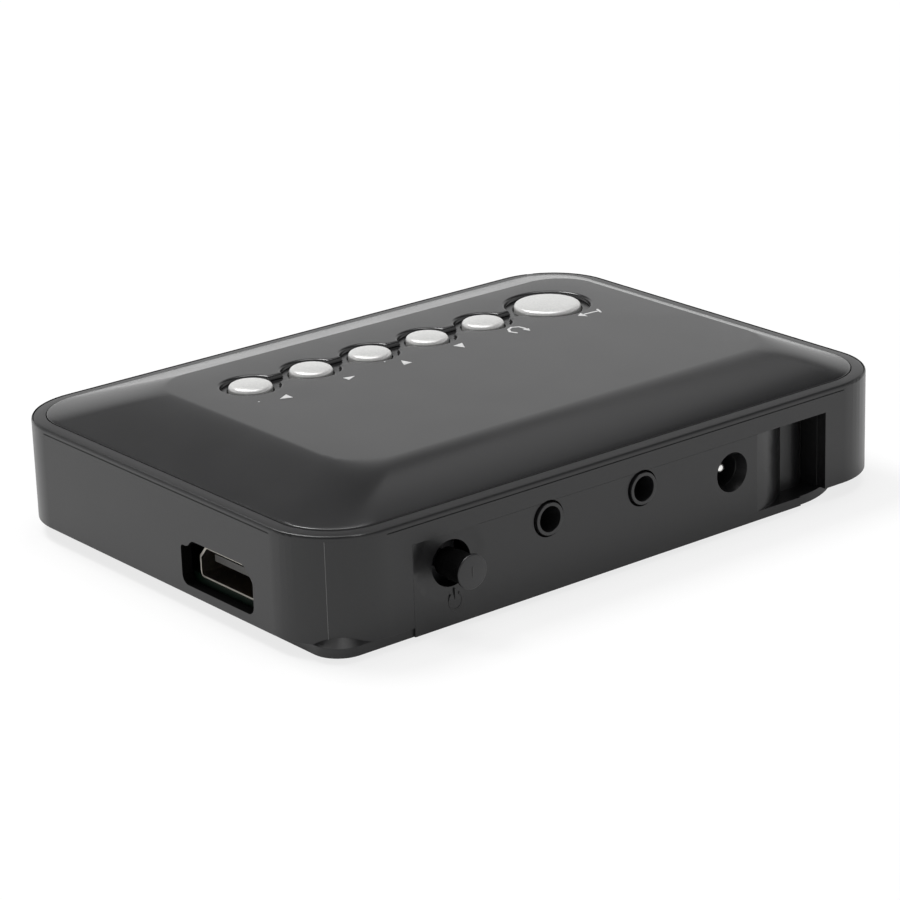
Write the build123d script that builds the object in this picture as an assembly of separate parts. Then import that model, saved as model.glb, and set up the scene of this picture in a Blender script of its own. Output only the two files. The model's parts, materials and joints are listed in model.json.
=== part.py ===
"""Small desk media player: a black moulded case with six keys and its sockets.

Millimetres, +Z up.  -Y is the socket side, -X the display socket side, +X the
card and memory stick side, +Y the side that faces the viewer.  The pieces are
drawn about the middle of the case, and saved about the middle of the whole
part, whose power button stands out of the -Y face.  z = 0 is under the feet.
Places along a side are measured from the case's -X end ("from_end") or from
its -Y face ("from_face"), and heights on the wall from the rim downwards.
"""
from build123d import *
import os

os.makedirs("parts", exist_ok=True)

# ---------------------------------------------------------------- case
case_length = 125.0          # along X
case_width = 90.0            # along Y
along = case_length / 100    # places along X keep to hundredths of the length
corner_radius = 13.0         # plan corners of the wall
wall_height = 17.9           # lower edge of the wall to the rim
wall = 2.0                   # thickness of the side wall
rim_width = 2.2              # flat rim seen round the cover
rim_round = 0.6              # rounding of the rim's outer edge
seat_depth = 2.2             # rim down to the ledge that carries the cover
ledge_width = 2.6            # ledge beyond the rim's inner edge
ledge_thickness = 1.5
lip_thickness = 1.1          # inward lip at the wall's lower edge
lip_width = 5.0
foot_stand = 1.0             # feet below the base plate
base_thickness = 1.6
base_insets = [2.2, 5.0, 0.4, 2.2]     # base plate behind the wall at -X, +X, -Y, +Y
base_corners = [5.0, 10.8, 18.0, 18.0]  # its corner radii at -X-Y, -X+Y, +X-Y, +X+Y
panel_start = 14.2 * along            # upright socket panel, one moulding with the base plate
panel_foot_end = 81.44 * along        # its lower edge stays in the panel's face up to here
panel_end = 86.08 * along
panel_below_rim = 4.05       # rim down to the top of the notch that it fills
panel_thickness = 2.0
panel_recess = 0.05          # panel's face behind the wall's face
seam_gap = 0.05              # round the panel
fit_gap = 0.1                # between moulded pieces that drop into each other

# ---------------------------------------------------------------- cover
groove_width = 0.4           # dark gap between rim and cover
cover_thickness = 1.8
cover_edge_lift = 0.15       # cover's edge above the rim
dome_rise = 3.75             # rim to the cover's flat top
dome_power = 1.35            # how soon the slope eases into the flat
dome_steps = 5               # rings that the slope is built from
flat_from_end = 16 * along         # flat top's edge behind each side of the case
flat_from_far_end = 9.4 * along
flat_from_face = 17.0
flat_from_front = 15.5
flat_corner = 8.0
cover_post_radius = 3.2      # screw posts under the cover
cover_post_inset = 12.0      # post centres behind the case's sides
cover_screw_radius = 1.25
cover_screw_bite = 8.0       # length of screw inside the post
screw_gap = 0.05             # radial, screw to its hole
screw_head_radius = 2.3
screw_head_height = 1.2
screw_sink = 0.8             # head sunk into the base plate
cross_width = 0.7            # cross recess in screw heads
cross_span = 1.2             # its length over the head's radius
cross_depth = 0.5

# ---------------------------------------------------------------- keys
key_count = 5
key_radius = 3.7
enter_key_radius = 6.0
first_key_from_end = 25.68 * along
key_pitch = 10.24 * along
enter_key_step = 12.16 * along        # last small key to the large one
keys_from_face = 61.75
key_stand = 0.55             # key top above the flat
key_round = 0.8
fine_round = 0.45            # front edge of the power button, cans on the board
key_gap = 0.35               # key to its hole, radial
key_travel = 0.6
key_flange_grip = 1.05       # flange beyond the key
key_flange_thickness = 0.8
key_float = 0.3              # flange below the cover
scallop_margin = 1.5         # dished ring round each key
enter_scallop_margin = 1.8
scallop_depth = 0.9
scallop_link = 3.2           # width of the channel that joins the rings
plunger_radius = 1.7
plunger_gap = 0.15           # radial, plunger to its switch
plunger_depth = 1.2          # plunger inside its switch at rest
running_gap = 0.3            # between moving faces at the end of travel
switch_side = 6.0
switch_height = 3.3
switch_edge = 0.5
key_board_thickness = 1.2
key_board_depth = 18.0
key_screw_offset = 6.5       # key board screws off the row of keys
key_post_radius = 2.4
key_screw_radius = 0.9
key_screw_head_radius = 1.8
key_screw_bite = 4.0

# ---------------------------------------------------------------- main board
board_below_rim = 15.05      # rim down to the board's upper face
board_thickness = 1.6
board_gap = 0.5              # board to the case's inner faces
post_clear = 0.5             # board round the cover's posts
standoff_radius = 3.0
board_screw_radius = 0.95
board_screw_floor = 0.7      # plastic left under a board screw
standoffs = [(-24 * along, -22.0), (16 * along, -24.0), (-35.2 * along, 24.0), (32 * along, 30.0)]

# ---------------------------------------------------------------- scoop
scoop_start = 72.24 * along           # recess in the socket side, from the -X end
scoop_lead = 76.56 * along            # pulls the easy start of its curve
scoop_bend = 80.88 * along            # crease, then a short flat band
scoop_flat_end = 82.88 * along
scoop_flat_depth = 4.4
scoop_depth = 6.1
scoop_wall = 1.8

# ---------------------------------------------------------------- sockets
hdmi_from_face = 27.7        # middle of the display socket
hdmi_opening_width = 19.5
hdmi_opening_top = 8.3       # below the rim
hdmi_opening_bottom = 16.3
hdmi_step_width = 1.8        # stepped upper corner of the opening
hdmi_step_height = 1.3
hdmi_chamfer = 2.3
hdmi_low_chamfer = 0.9
hdmi_width = 15.0
hdmi_height = 5.55
hdmi_length = 11.5
hdmi_bevel_width = 1.75
hdmi_bevel_height = 1.9
hdmi_round = 0.9
shell_thickness = 0.35
hdmi_tongue_width = 11.0
hdmi_tongue_thickness = 1.2
hdmi_tongue_rise = 3.3       # tongue's middle above the socket's floor
hdmi_tongue_recess = 1.6
hdmi_block = 2.6
hdmi_pins = 9
hdmi_pin_width = 0.6
hdmi_pin_pitch = 1.1
pin_thickness = 0.1

audio_from_end = 36.32 * along        # first 3.5 mm socket
component_from_end = 52.4 * along    # second 3.5 mm socket
audio_below_rim = 6.95
audio_hole_radius = 3.1
audio_nose_radius = 2.75
audio_nose_recess = 0.5
audio_bore_radius = 1.8
audio_bore_length = 12.0
audio_body_width = 7.0
audio_body_length = 12.5
audio_body_above = 3.0       # body above the bore's axis
contact_width = 1.0
contact_thickness = 0.3
contact_shares = (0.25, 0.7) # places of the side legs along the body

dc_from_end = 68.56 * along
dc_below_rim = 9.35
dc_hole_radius = 3.45
dc_body_width = 8.6
dc_body_length = 13.0
dc_body_above = 4.8
dc_bore_radius = 2.85
dc_bore_length = 9.5
dc_pin_radius = 1.0
dc_pin_recess = 3.6          # pin's tip behind the case's face
dc_pin_round = 0.6

power_from_end = 20.48 * along
power_dish_from_end = 20.0 * along    # hollow round the button, cut off by the panel's top
power_dish_below_rim = 8.2
power_dish_radius = 24.0
power_dish_depth = 1.2
power_below_rim = 9.25
power_hole_radius = 3.85
power_cap_radius = 2.9
power_neck_radius = 2.3
power_cap_stand = 5.0        # cap in front of the wall
power_cap_head = 4.4         # length of the cap's full width
power_travel = 2.5
power_cap_tail = 1.8         # cap behind the wall's face
power_stem_radius = 1.5
power_stem_depth = 4.2
power_body_side = 8.0
power_body_length = 11.0

socket_wall_gap = 0.2        # socket bodies behind the wall's inner face
usb_from_face = 61.0
usb_width = 13.1
usb_height = 5.7
usb_length = 14.0
usb_tongue_width = 11.1
usb_tongue_thickness = 1.9
usb_tongue_recess = 1.2
usb_block = 3.0
opening_gap = 0.3            # wall round the memory stick socket
usb_face_recess = 0.4
card_from_face = 32.0
card_socket_width = 28.0
card_socket_length = 28.0
card_socket_height = 2.95
card_slot_width = 24.6
card_slot_height = 2.2
card_slot_length = 25.0

# ---------------------------------------------------------------- viewer's side
window_from_end = 68.8 * along
window_below_rim = 8.0
window_width = 10.0
window_height = 5.0
window_flange = 1.2
window_flange_thickness = 1.0
receiver_width = 5.6
receiver_depth = 3.6
lamp_from_end = 56 * along
lamp_radius = 1.5
lamp_block = 4.0

# ---------------------------------------------------------------- parts on the boards
chip_side = 20.0
chip_height = 1.6
sink_side = 22.0
sink_base = 1.6
sink_height = 6.0
sink_fins = 6
sink_fin_thickness = 1.2
chip_at = (-6.4 * along, -4.0)
memory_side = (12.0, 9.0)
memory_height = 1.1
memory_at = [(8 * along, 4.0), (8 * along, -8.0)]
flash_at = (-24 * along, 4.0)
flash_side = (12.0, 18.0)
coil_at = (16 * along, -12.0)
coil_side = 7.0
coil_height = 4.0
coil_round = 0.9
can_radius = 3.15
can_height = 7.0
cans_at = [(-40 * along, 2.0), (-40 * along, 12.0), (21.6 * along, 16.0), (-21.2 * along, -31.0)]
crystal_at = (-22.4 * along, -12.0)
crystal_side = (11.0, 4.6)
crystal_height = 3.4
crystal_round = 2.07
header_at_x = 6.4 * along
header_width = 14.0
header_depth = 5.0
header_height = 3.0
header_from_keys = 4.5       # header towards the viewer's side of the keys
ribbon_width = 12.0
ribbon_thickness = 0.9

foot_radius = 4.5
foot_thickness = 1.8
foot_inset_x = 22.0          # foot centres behind the case's sides
foot_inset_y = 9.0
foot_round = 0.3

vent_count = 6
vent_length = 26.0
vent_width = 1.8
vent_pitch = 4.4

# ---------------------------------------------------------------- worked-out levels
end_x = -case_length / 2
face_y = -case_width / 2
base_bottom = foot_stand
base_top = base_bottom + base_thickness
rim_z = base_top + wall_height
ledge_z = rim_z - seat_depth
cover_edge_z = rim_z + cover_edge_lift
flat_z = rim_z + dome_rise
cover_under_z = flat_z - cover_thickness
cover_inset = rim_width + groove_width
notch_top = rim_z - panel_below_rim
board_top = rim_z - board_below_rim
board_bottom = board_top - board_thickness
key_y = face_y + keys_from_face
key_x = [end_x + first_key_from_end + key_pitch * i for i in range(key_count)]
enter_x = key_x[-1] + enter_key_step
flange_top = cover_under_z - key_float
flange_bottom = flange_top - key_flange_thickness
switch_top = flange_bottom - key_travel - running_gap
key_board_top = switch_top - switch_height
key_board_bottom = key_board_top - key_board_thickness
post_spots = [
    (sx * (case_length / 2 - cover_post_inset), sy * (case_width / 2 - cover_post_inset))
    for sx in (-1, 1)
    for sy in (-1, 1)
]
socket_front = face_y + wall + socket_wall_gap


# ---------------------------------------------------------------- shapes
def block(x0, x1, y0, y1, z0, z1):
    """A box between two corners."""
    middle = Pos((x0 + x1) / 2, (y0 + y1) / 2, (z0 + z1) / 2)
    return middle * Box(x1 - x0, y1 - y0, z1 - z0)


def slab(insets, radii, z0, z1):
    """A prism of the case's plan, set in by (-X, +X, -Y, +Y).

    radii holds a corner radius for each of -X-Y, -X+Y, +X-Y and +X+Y.
    """
    x0 = end_x + insets[0]
    x1 = -end_x - insets[1]
    y0 = face_y + insets[2]
    y1 = -face_y - insets[3]
    solid = block(x0, x1, y0, y1, z0, z1)
    for (sx, sy), radius in zip([(-1, -1), (-1, 1), (1, -1), (1, 1)], radii):
        uprights = solid.edges().filter_by(Axis.Z)
        outermost = uprights.sort_by(lambda e: sx * e.center().X + sy * e.center().Y)[-1]
        solid = fillet([outermost], radius)
    return solid


def even_slab(inset, radius, z0, z1):
    """A prism of the case's plan, set in evenly."""
    return slab([inset] * 4, [radius] * 4, z0, z1)


def post(x, y, z0, z1, radius):
    """An upright cylinder."""
    return Pos(x, y, (z0 + z1) / 2) * Cylinder(radius, z1 - z0)


def bar_y(x, z, y0, y1, radius):
    """A cylinder along Y."""
    return Pos(x, (y0 + y1) / 2, z) * Rot(90, 0, 0) * Cylinder(radius, y1 - y0)


def prism_x(points, x0, x1):
    """A prism along X over a closed outline of (y, z) points."""
    outline = Polyline([(x0, y, z) for y, z in points], close=True)
    return extrude(make_face(outline), x1 - x0, dir=(1, 0, 0))


def save(solid, name):
    """Write one node's STEP file, about the middle of the whole part."""
    export_step(Pos(0, power_cap_stand / 2, 0) * solid, f"parts/{name}.step")


# ---------------------------------------------------------------- case pieces
def scoop_hollow():
    """The finger recess: a curved start, a crease, a flat band and a square end."""
    places = (scoop_start, scoop_lead, scoop_bend, scoop_flat_end, panel_end)
    x0, x1, x2, x3, x4 = [end_x + v for v in places]
    flat = face_y + scoop_flat_depth
    back = face_y + scoop_depth
    start = Bezier((x0, face_y, 0), (x1, face_y, 0), (x2, flat, 0))
    band = Line((x2, flat, 0), (x3, flat, 0))
    end = Bezier((x3, flat, 0), ((x3 + x4) / 2, flat, 0), (x4, back, 0))
    rest = Polyline(
        (x4, back, 0),
        (x4, face_y - wall, 0),
        (x0, face_y - wall, 0),
        (x0, face_y, 0),
    )
    face = make_face([start, band, end, rest])
    return Pos(0, 0, base_top) * extrude(face, notch_top - base_top, dir=(0, 0, 1))


def scoop_block(z0, z1):
    """The moulding behind the finger recess between two levels, not yet hollowed."""
    flat = face_y + scoop_flat_depth + scoop_wall
    back = face_y + scoop_depth + scoop_wall
    right = end_x + panel_end + scoop_wall
    outline = Polyline(
        (end_x + scoop_start - scoop_wall / 2, face_y, z0),
        (end_x + scoop_bend - scoop_wall / 2, flat, z0),
        (end_x + scoop_flat_end, flat, z0),
        (end_x + panel_end, back, z0),
        (right, back, z0),
        (right, face_y, z0),
        close=True,
    )
    return extrude(make_face(outline), z1 - z0, dir=(0, 0, 1))


def power_dish():
    """The shallow round hollow in the panel that lets a fingertip reach the button."""
    ball = Pos(end_x + power_dish_from_end, face_y + power_dish_depth - power_dish_radius,
               rim_z - power_dish_below_rim) * Sphere(power_dish_radius)
    near = block(end_x + panel_start, 0, face_y - wall, face_y + panel_thickness,
                 base_bottom, notch_top)
    return ball & near


def make_socket_panel():
    """Upright panel with the round holes, the button's hollow and the finger recess."""
    front = face_y + panel_recess
    left = end_x + panel_start + seam_gap
    right = end_x + panel_end - seam_gap
    top = notch_top - seam_gap
    panel = block(left, right, front, face_y + panel_thickness, base_top, top)
    panel += block(left, end_x + panel_foot_end, front, face_y + panel_thickness,
                   base_bottom, base_top)
    moulding = scoop_block(base_top, top)
    moulding -= block(right, -end_x, face_y - wall, face_y + wall + seam_gap, base_bottom, rim_z)
    panel += moulding - block(end_x, -end_x, face_y - wall, front, base_bottom, rim_z)
    panel -= scoop_hollow()
    panel -= power_dish()
    for hole in socket_holes():
        panel -= hole
    return panel


def hdmi_opening():
    """The display socket's opening, one upper corner stepped, one cut off."""
    y0 = face_y + hdmi_from_face - hdmi_opening_width / 2
    y1 = y0 + hdmi_opening_width
    z0 = rim_z - hdmi_opening_bottom
    z1 = rim_z - hdmi_opening_top
    points = [
        (y0, z0 + hdmi_low_chamfer),
        (y0 + hdmi_low_chamfer, z0),
        (y1 - hdmi_low_chamfer, z0),
        (y1, z0 + hdmi_low_chamfer),
        (y1, z1 - hdmi_step_height),
        (y1 - hdmi_step_width, z1 - hdmi_step_height),
        (y1 - hdmi_step_width - hdmi_step_height, z1),
        (y0 + hdmi_chamfer, z1),
        (y0, z1 - hdmi_chamfer),
    ]
    return prism_x(points, end_x - wall, end_x + 2 * wall)


def socket_holes():
    """Round holes for the three sockets and the power button."""
    out = face_y - wall
    inner = face_y + 2 * wall
    return [
        bar_y(end_x + audio_from_end, rim_z - audio_below_rim, out, inner, audio_hole_radius),
        bar_y(end_x + component_from_end, rim_z - audio_below_rim, out, inner, audio_hole_radius),
        bar_y(end_x + dc_from_end, rim_z - dc_below_rim, out, inner, dc_hole_radius),
        bar_y(end_x + power_from_end, rim_z - power_below_rim, out, inner, power_hole_radius),
    ]


def side_openings():
    """Holes through the side wall for sockets, window and lamp."""
    usb_y = face_y + usb_from_face
    card_y = face_y + card_from_face
    usb_half = usb_width / 2 + opening_gap
    card_half = card_slot_width / 2 + opening_gap
    far = -end_x
    front = -face_y
    lamp_z = rim_z - window_below_rim
    half = window_width / 2
    window_x = end_x + window_from_end
    cuts = [
        hdmi_opening(),
        block(far - 2 * wall, far + wall, usb_y - usb_half, usb_y + usb_half,
              board_top - opening_gap, board_top + usb_height + opening_gap),
        block(far - 2 * wall, far + wall, card_y - card_half, card_y + card_half,
              board_top, board_top + card_socket_height),
        block(window_x - half, window_x + half, front - 2 * wall, front + wall,
              lamp_z - window_height / 2, lamp_z + window_height / 2),
        bar_y(end_x + lamp_from_end, lamp_z, front - 2 * wall, front + wall,
              lamp_radius + fit_gap),
    ]
    return cuts + socket_holes()


def make_case_wall():
    """Side wall with its rim, the ledge for the cover, its lip and the panel's notch."""
    body = even_slab(0, corner_radius, base_top, rim_z)
    rim_edges = body.edges().group_by(Axis.Z)[-1]
    body = fillet(rim_edges, rim_round)
    low = base_top + lip_thickness
    under_ledge = ledge_z - ledge_thickness
    body -= even_slab(wall, corner_radius - wall, low, under_ledge)
    body -= even_slab(rim_width, corner_radius - rim_width, ledge_z, rim_z + wall)
    ledge_inset = rim_width + ledge_width
    body -= even_slab(ledge_inset, corner_radius - ledge_inset, under_ledge - wall, ledge_z + wall)
    lip_in = [v + lip_width for v in base_insets]
    body -= slab(lip_in, base_corners, base_top - wall, low + wall)
    for x, y in post_spots:
        body -= post(x, y, base_top, low, cover_post_radius + fit_gap)
    body -= block(end_x + panel_start, end_x + panel_end, face_y - wall,
                  face_y + wall + lip_width, base_top - wall, notch_top)
    body -= block(end_x + scoop_flat_end, end_x + panel_end + scoop_wall + fit_gap,
                  face_y + wall, face_y + scoop_depth + scoop_wall + fit_gap, base_top, low)
    body += scoop_block(notch_top, ledge_z)
    for cut in side_openings():
        body -= cut
    return body


def dome_ring(step, inset, drop):
    """One ring of the cover's slope, as a flat outline.

    step runs from 0 at the cover's edge to 1 at the flat.  Height rises as
    1 - (1 - step) ** dome_power, so the slope eases into the flat.
    """
    flats = [flat_from_end, flat_from_far_end, flat_from_face, flat_from_front]
    edge = [cover_inset + inset] * 4
    sides = [e + (f - e) * step for e, f in zip(edge, flats)]
    radius = (corner_radius - cover_inset - inset) * (1 - step) + flat_corner * step
    rise = (flat_z - cover_edge_z) * (1 - (1 - step) ** dome_power)
    width = case_length - sides[0] - sides[1]
    depth = case_width - sides[2] - sides[3]
    middle = ((sides[0] - sides[1]) / 2, (sides[2] - sides[3]) / 2)
    plane = Plane.XY.offset(cover_edge_z + rise - drop)
    return plane * Pos(*middle) * RectangleRounded(width, depth, radius)


def dome(inset, drop, bottom):
    """The solid under the cover's outer face, set in and lowered."""
    rings = [dome_ring(i / (dome_steps - 1), inset, drop) for i in range(dome_steps)]
    slope = loft(rings, ruled=True)
    edge = cover_inset + inset
    foot = even_slab(edge, corner_radius - edge, bottom, cover_edge_z - drop)
    return foot + slope


def key_row(margin, enter_margin, z0, z1):
    """Cylinders round every key, margin larger than the key."""
    small = [post(x, key_y, z0, z1, key_radius + margin) for x in key_x]
    return small + [post(enter_x, key_y, z0, z1, enter_key_radius + enter_margin)]


def key_board_screw_spots():
    """Where the key board is screwed to the cover, clear of the keys' flanges."""
    beyond = key_flange_grip + key_post_radius + running_gap
    left = key_x[0] - key_radius - beyond
    right = enter_x + enter_key_radius + beyond
    return [(x, key_y + s * key_screw_offset) for x in (left, right) for s in (-1, 1)]


def make_top_cover():
    """Domed cover with the linked rings round the keys, and its screw posts."""
    outer = dome(0, 0, ledge_z)
    cover = outer - dome(cover_thickness, cover_thickness, ledge_z - wall)
    reach = outer + even_slab(cover_inset, corner_radius - cover_inset, base_top, ledge_z)
    for x, y in post_spots:
        cover += post(x, y, base_top, flat_z, cover_post_radius) & reach
        hole_top = base_top + cover_screw_bite + screw_gap
        cover -= post(x, y, base_top, hole_top, cover_screw_radius + screw_gap)
    dish = flat_z - scallop_depth
    for ring in key_row(scallop_margin, enter_scallop_margin, dish, flat_z + wall):
        cover -= ring
    cover -= block(key_x[0], enter_x, key_y - scallop_link / 2, key_y + scallop_link / 2,
                   dish, flat_z + wall)
    for hole in key_row(key_gap, key_gap, cover_under_z - wall, flat_z + wall):
        cover -= hole
    hole_top = key_board_top + key_screw_bite
    for x, y in key_board_screw_spots():
        cover += post(x, y, key_board_top, cover_under_z + cover_thickness / 2, key_post_radius)
        cover -= post(x, y, key_board_top, hole_top, key_screw_radius + screw_gap)
    return cover


def foot_spots():
    """Middles of the four feet."""
    x = case_length / 2 - foot_inset_x
    y = case_width / 2 - foot_inset_y
    return [(-x, -y), (x, -y), (-x, y), (x, y)]


def make_base_plate():
    """Flat base with the socket panel, standoffs, screw seats, foot seats and vents."""
    plate = slab(base_insets, base_corners, base_bottom, base_top) + make_socket_panel()
    for x, y in post_spots:
        plate -= post(x, y, base_bottom - wall, base_top + wall, cover_screw_radius + fit_gap)
        plate -= post(x, y, base_bottom - wall, base_bottom + screw_sink,
                      screw_head_radius + fit_gap)
    for x, y in standoffs:
        plate += post(x, y, base_top, board_bottom, standoff_radius)
        plate -= post(x, y, base_bottom + board_screw_floor, board_bottom,
                      board_screw_radius + screw_gap)
    seat = foot_thickness - foot_stand
    for x, y in foot_spots():
        plate -= post(x, y, base_bottom - wall, base_bottom + seat, foot_radius + fit_gap)
    for i in range(vent_count):
        y = chip_at[1] + (i - (vent_count - 1) / 2) * vent_pitch
        plate -= block(chip_at[0] - vent_length / 2, chip_at[0] + vent_length / 2,
                       y - vent_width / 2, y + vent_width / 2, 0, base_top + wall)
    return plate


def make_foot(x, y):
    """Glued rubber foot in its shallow seat."""
    pad = post(x, y, 0, foot_thickness, foot_radius)
    return fillet(pad.edges().group_by(Axis.Z)[0], foot_round)


def make_screw(x, y, seat_z, points_up, head_radius, shank_radius, shank_length):
    """Pan-head screw with a cross recess, standing at (x, y)."""
    head = Pos(0, 0, -screw_head_height / 2) * Cylinder(head_radius, screw_head_height)
    shank = Pos(0, 0, shank_length / 2) * Cylinder(shank_radius, shank_length)
    screw = head + shank
    deep = Pos(0, 0, -screw_head_height + cross_depth / 2)
    screw -= deep * Box(head_radius * cross_span, cross_width, cross_depth)
    screw -= deep * Box(cross_width, head_radius * cross_span, cross_depth)
    turn = 0 if points_up else 180
    return Pos(x, y, seat_z) * Rot(turn, 0, 0) * screw


# ---------------------------------------------------------------- keys and key board
def make_key(x, radius):
    """Key cap: a round button with a flange that the cover holds in."""
    cap = post(x, key_y, flange_top, flat_z + key_stand, radius)
    cap = fillet(cap.edges().group_by(Axis.Z)[-1], key_round)
    return cap + post(x, key_y, flange_bottom, flange_top, radius + key_flange_grip)


def make_plunger(x):
    """Switch plunger that stands under a key."""
    return post(x, key_y, switch_top - plunger_depth, flange_bottom, plunger_radius)


def make_key_switch(x):
    """Square push switch with the well that its plunger runs in."""
    half = switch_side / 2
    body = block(x - half, x + half, key_y - half, key_y + half, key_board_top, switch_top)
    body = chamfer(body.edges().filter_by(Axis.Z), switch_edge)
    well = switch_top - plunger_depth - key_travel - running_gap
    return body - post(x, key_y, well, switch_top, plunger_radius + plunger_gap)


def make_key_board():
    """Board under the keys, screwed up against the cover's short posts."""
    spots = key_board_screw_spots()
    x0 = spots[0][0] - key_post_radius - fit_gap
    x1 = spots[-1][0] + key_post_radius + fit_gap
    half = key_board_depth / 2
    board = block(x0, x1, key_y - half, key_y + half, key_board_bottom, key_board_top)
    for x, y in spots:
        board -= post(x, y, key_board_bottom, key_board_top, key_screw_radius + fit_gap)
    return board


def make_key_board_screws():
    """Four short screws that point up into the cover's posts."""
    length = key_board_thickness + key_screw_bite - screw_gap
    return Compound([
        make_screw(x, y, key_board_bottom, True, key_screw_head_radius, key_screw_radius, length)
        for x, y in key_board_screw_spots()
    ])


# ---------------------------------------------------------------- main board
def make_main_board():
    """Main board with its corners off and room for the posts and the recess."""
    inset = wall + board_gap
    board = even_slab(inset, corner_radius - inset, board_bottom, board_top)
    for x, y in post_spots:
        board -= post(x, y, board_bottom, board_top, cover_post_radius + post_clear)
    board -= block(end_x + scoop_start + scoop_wall,
                   end_x + panel_end + scoop_wall + board_gap,
                   face_y, face_y + scoop_depth + scoop_wall + board_gap,
                   board_bottom, board_top)
    for x, y in standoffs:
        board -= post(x, y, board_bottom, board_top, board_screw_radius + fit_gap)
    return board


def make_board_screws():
    """Four screws that hold the main board on the base's standoffs."""
    length = board_top - base_bottom - board_screw_floor - screw_gap
    return Compound([
        make_screw(x, y, board_top, False, key_screw_head_radius, board_screw_radius, length)
        for x, y in standoffs
    ])


def make_cover_screws():
    """Four screws from below, through the base plate into the cover's posts."""
    seat = base_bottom + screw_sink
    length = base_top - seat + cover_screw_bite
    return Compound([
        make_screw(x, y, seat, True, screw_head_radius, cover_screw_radius, length)
        for x, y in post_spots
    ])


def hdmi_profile(shrink):
    """Display socket's section: bevels above, round corners below."""
    half = hdmi_width / 2 - shrink
    z0 = board_top + shrink
    z1 = board_top + hdmi_height - shrink
    y = face_y + hdmi_from_face
    return [
        (y - half, z0),
        (y + half, z0),
        (y + half, z1 - hdmi_bevel_height),
        (y + half - hdmi_bevel_width, z1),
        (y - half + hdmi_bevel_width, z1),
        (y - half, z1 - hdmi_bevel_height),
    ]


def hdmi_tube(shrink, x0, x1):
    """A length of the display socket's section with rounded lower corners."""
    tube = prism_x(hdmi_profile(shrink), x0, x1)
    low = tube.edges().filter_by(Axis.X).group_by(Axis.Z)[0]
    return fillet(low, hdmi_round - shrink)


hdmi_mouth = end_x + wall
hdmi_rear = hdmi_mouth + hdmi_length


def make_hdmi_shell():
    """Folded nickel-plated shell of the display socket."""
    hollow = hdmi_tube(shell_thickness, hdmi_mouth - wall, hdmi_rear + wall)
    return hdmi_tube(0, hdmi_mouth, hdmi_rear) - hollow


def hdmi_tongue_levels():
    """Lower and upper face of the display socket's tongue."""
    middle = board_top + hdmi_tongue_rise
    return middle - hdmi_tongue_thickness / 2, middle + hdmi_tongue_thickness / 2


def make_hdmi_tongue():
    """Moulded block that closes the socket's rear, and its tongue."""
    shrink = shell_thickness + screw_gap
    rear = hdmi_tube(shrink, hdmi_rear - hdmi_block, hdmi_rear)
    y = face_y + hdmi_from_face
    half = hdmi_tongue_width / 2
    low, high = hdmi_tongue_levels()
    return rear + block(hdmi_mouth + hdmi_tongue_recess, hdmi_rear - hdmi_block,
                        y - half, y + half, low, high)


def make_hdmi_contacts():
    """Contact strips along the tongue's lower face."""
    low = hdmi_tongue_levels()[0]
    start = hdmi_mouth + 2 * hdmi_tongue_recess
    strips = []
    for i in range(hdmi_pins):
        y = face_y + hdmi_from_face + (i - (hdmi_pins - 1) / 2) * hdmi_pin_pitch
        strips.append(block(start, hdmi_rear - hdmi_block, y - hdmi_pin_width / 2,
                            y + hdmi_pin_width / 2, low - pin_thickness, low))
    return Compound(strips)


def make_audio_body(from_end):
    """Tall body of a 3.5 mm socket, its nose in the wall's hole."""
    x = end_x + from_end
    z = rim_z - audio_below_rim
    half = audio_body_width / 2
    back = socket_front + audio_body_length
    mouth = face_y + audio_nose_recess
    body = block(x - half, x + half, socket_front, back, board_top, z + audio_body_above)
    body += bar_y(x, z, mouth, socket_front, audio_nose_radius)
    return body - bar_y(x, z, mouth, mouth + audio_bore_length, audio_bore_radius)


def make_audio_contacts(from_end):
    """Contact legs on both sides and the rear of a 3.5 mm socket."""
    x = end_x + from_end
    half = audio_body_width / 2
    top = rim_z - audio_below_rim
    rear = socket_front + audio_body_length
    legs = []
    for part in contact_shares:
        y = socket_front + audio_body_length * part
        for side in (-1, 1):
            inner = x + side * half
            outer = inner + side * contact_thickness
            legs.append(block(min(inner, outer), max(inner, outer), y - contact_width / 2,
                              y + contact_width / 2, board_top, top))
    legs.append(block(x - contact_width / 2, x + contact_width / 2, rear,
                      rear + contact_thickness, board_top, top))
    return Compound(legs)


def make_dc_body():
    """Body of the supply socket, open towards the hole in the wall."""
    x = end_x + dc_from_end
    z = rim_z - dc_below_rim
    half = dc_body_width / 2
    back = socket_front + dc_body_length
    body = block(x - half, x + half, socket_front, back, board_top, z + dc_body_above)
    return body - bar_y(x, z, socket_front, socket_front + dc_bore_length, dc_bore_radius)


def make_dc_pin():
    """Plated centre pin with a rounded tip."""
    x = end_x + dc_from_end
    z = rim_z - dc_below_rim
    pin = bar_y(x, z, face_y + dc_pin_recess, socket_front + dc_bore_length, dc_pin_radius)
    return fillet(pin.edges().group_by(Axis.Y)[0], dc_pin_round)


power_x = end_x + power_from_end
power_z = rim_z - power_below_rim
power_cap_back = face_y + power_cap_tail
power_body_front = power_cap_back + power_travel + running_gap


def make_power_cap():
    """Push cap: a wide face on a narrower neck."""
    front = face_y - power_cap_stand
    head = bar_y(power_x, power_z, front, front + power_cap_head, power_cap_radius)
    head = fillet(head.edges().group_by(Axis.Y)[0], fine_round)
    return head + bar_y(power_x, power_z, front + power_cap_head, power_cap_back,
                        power_neck_radius)


def make_power_stem():
    """Stem from the cap into the latching switch."""
    return bar_y(power_x, power_z, power_cap_back, power_body_front + power_stem_depth,
                 power_stem_radius)


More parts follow.
